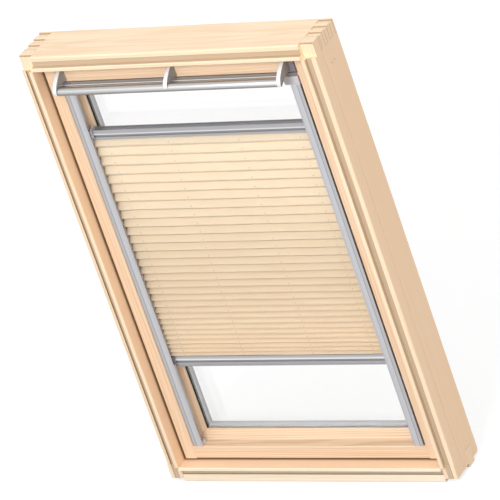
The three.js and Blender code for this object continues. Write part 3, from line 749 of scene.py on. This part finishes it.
# Pleated cloth
# One width of woven polyester, folded sharp in equal panels. Its own weight opens the upper
# pleats and lets the lower ones close. It is made in six strips that meet at folds, three for the
# upper half and three for the lower.
cloth_light = linear(250, 229, 199)
cloth_dark = linear(234, 209, 175)
cloth_shade = linear(186, 162, 132)
hole_brown = linear(170, 142, 108)
cloth_thickness, thread_pitch = 0.0004, 0.0005
panel = 0.0184
pleat_count = 31
widest_share, narrowest_share = 1.31, 0.53
panel_steps, width_steps = 6, 90
slot_depth = 0.004
cord_columns, hole_radius = (0.094, 0.257), 0.0018
# Painted shade over the middle of the drop.
mid_shade_from, mid_shade_until, mid_shade_share = (0.08, 0.5), (0.6, 1.05), 0.24


def weave(tree):
    """Threads are a product of sines along and across the cloth. A darker spot marks each hole for
    a cord, in the middle of a panel. The middle of the drop carries painted shade, as in the
    photograph."""
    place = tree.node("UVMap", {}, {})
    across, down, _ = tree.parts(place)
    thread = 2 * math.pi / thread_pitch
    woven = (across * thread).sine() * (down * thread).sine() * 0.5 + 0.5
    slub = tree.noise(place, 500, 3, (0.05, 1, 1))
    cloud = tree.noise(place, 5, 2)
    row = abs((down * (1 / panel)).fraction() - 0.5) * panel
    first, second = (abs(abs(across) - column) for column in cord_columns)
    near = first.least(second)
    hole = (near * near + row * row) < hole_radius**2
    painted_mid_shade = down.rise(*mid_shade_from) * (1 - down.rise(*mid_shade_until)) * mid_shade_share
    plain = tree.mix(slub * 0.5 + cloud * 0.3, cloth_light, cloth_dark)
    return {
        "Base Color": tree.mix(hole * 0.4, tree.mix(painted_mid_shade, plain, cloth_shade), hole_brown),
        "Roughness": slub * 0.1 + 0.82,
        "Sheen Weight": 0.15,
        "Subsurface Weight": 0.35,
        "Subsurface Radius": (1.0, 0.85, 0.65),
        "Subsurface Scale": 0.004,
        "bump": (woven * 0.7 + slub * 0.3, 0.00006),
    }


def sheet_mesh(name, points, flat):
    """A mesh through a grid of points, with the flat cloth as its UV map."""
    rows, columns = points.shape[:2]
    faces = quads(np.arange(rows * columns).reshape(rows, columns))
    mesh = bpy.data.meshes.new(name)
    mesh.from_pydata(points.reshape(-1, 3).tolist(), [], faces.tolist())
    layer = mesh.uv_layers.new(name="UVMap")
    layer.data.foreach_set("uv", flat.reshape(-1, 2)[faces.ravel()].ravel())
    return placed(name, mesh)


def fold_line(top, bottom, middle):
    """The cloth from the side: fold after fold, its panels all of one length, so that a pleat of
    less height stands out further. Returns depth, height and the length of cloth so far."""
    down = np.linspace(0, 1, pleat_count)
    shares = widest_share + (narrowest_share - widest_share) * down**1.5
    pitch = shares * (top - bottom) / shares.sum()
    level = top - np.concatenate([[0], np.cumsum(pitch)[:-1]])
    out = np.sqrt(panel**2 - (pitch / 2) ** 2) / 2
    depth = np.stack([middle + out, middle - out], axis=1).ravel()
    height = np.stack([level - pitch / 4, level - 3 * pitch / 4], axis=1).ravel()
    depth = np.concatenate([[middle, middle], depth, [middle, middle]])
    height = np.concatenate([[top + slot_depth, top], height, [bottom, bottom - slot_depth]])
    run = np.concatenate([[0], np.cumsum(np.hypot(np.diff(depth), np.diff(height)))])
    return depth, height, run


upper_edge, lower_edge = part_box("top_rail")[0].z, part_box("bottom_rail")[1].z
half_width, gripped_width = 0.297, 0.2845
cloth_low, cloth_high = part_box("pleated_cloth")
cloth_middle = (cloth_low.y + cloth_high.y) / 2
depth, height, run = fold_line(upper_edge, lower_edge, cloth_middle)
corner = np.arange(len(depth))
folds, last = corner[:-1], len(depth) - 1
share = np.linspace(0, 1, panel_steps, endpoint=False)
steps = np.concatenate([(folds[:, None] + share[None, :]).ravel(), [last]])
row_y, row_z, row_v = (np.interp(steps, corner, line) for line in (depth, height, run))

# Slow waves along each fold, by their length and height, and a little bow in each panel. The
# rows in the rails' slots are straight, and narrow enough for the rails.
fold_waves, panel_bow = ((0.41, 0.0005), (0.19, 0.0003), (0.083, 0.00012)), 0.00035
x = np.linspace(-half_width, half_width, width_steps + 1)
rng = np.random.default_rng(11)
phase = rng.uniform(0, 2 * math.pi, (len(depth), len(fold_waves)))
wander = sum(
    np.sin(x[None, :] * (2 * math.pi / wave) + phase[:, k : k + 1]) * tall
    for k, (wave, tall) in enumerate(fold_waves)
)
wander[:2] = wander[-2:] = 0
fold_before = np.minimum(steps.astype(int), last - 1)
past = (steps - fold_before)[:, None]
row_wander = wander[fold_before] * (1 - past) + wander[fold_before + 1] * past
bow = np.sin(past * math.pi) * panel_bow
gripped = gripped_width / half_width
wide = np.interp(steps, [1, 2, last - 2, last - 1], [gripped, 1, 1, gripped])
points = np.zeros((len(steps), len(x), 3))
points[..., 0] = x * wide[:, None]
points[..., 1] = row_y[:, None] + row_wander
points[..., 2] = row_z[:, None] - bow
flat = np.zeros((len(steps), len(x), 2))
flat[..., 0] = points[..., 0]
flat[..., 1] = row_v[:, None]
cloth = finish("pleated_cloth", weave)


def soft_turn(share):
    """Where on its way from 0 to 1 a smooth step has risen by this share."""
    return 0.5 - math.sin(math.asin(1 - 2 * share) / 3)


# A blend is slow at both its ends, so each half of the cloth is cut at two folds, and for each
# strip the part of a blend that would close its pleats most evenly is worked out.
# With the bottom rail more than about 135 mm up, some pleats of the lower end and seam strips
# still close too far and pass through each other.
halfway = len(folds) // 2 * panel_steps
fold_rows = np.arange(0, len(steps), panel_steps)
cut_shares = (0.85, 0.15)
for half, body, rail, end_row in (
    ("upper", "upper_rail", upper_edge, 0),
    ("lower", "lower_rail", lower_edge, len(steps) - 1),
):
    reach = (row_z - row_z[halfway]) / (rail - row_z[halfway])
    nearest = [abs(reach[fold_rows] - cut).argmin() for cut in cut_shares]
    cuts = [end_row, *(int(row) for row in fold_rows[nearest]), halfway]
    levels = [rail] + [float(row_z[cut]) for cut in cuts[1:]]
    turns = [1.0] + [soft_turn(float(reach[cut])) for cut in cuts[1:]]
    for k, place in enumerate(("end", "body", "seam")):
        rows = slice(min(cuts[k : k + 2]), max(cuts[k : k + 2]) + 1)
        slope = (levels[k + 1] - levels[k]) / (turns[k + 1] - turns[k])
        start = levels[k] - turns[k] * slope
        piece = sheet_mesh(f"pleated_cloth_{half}_{place}", points[rows], flat[rows])
        piece.data.materials.append(cloth)
        wall = piece.modifiers.new("wall", "SOLIDIFY")
        wall.thickness, wall.offset = cloth_thickness, 0
        from_place, to_place = (0, cloth_middle, start), (0, cloth_middle, start + slope)
        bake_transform(piece)
        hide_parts("pleated_cloth")
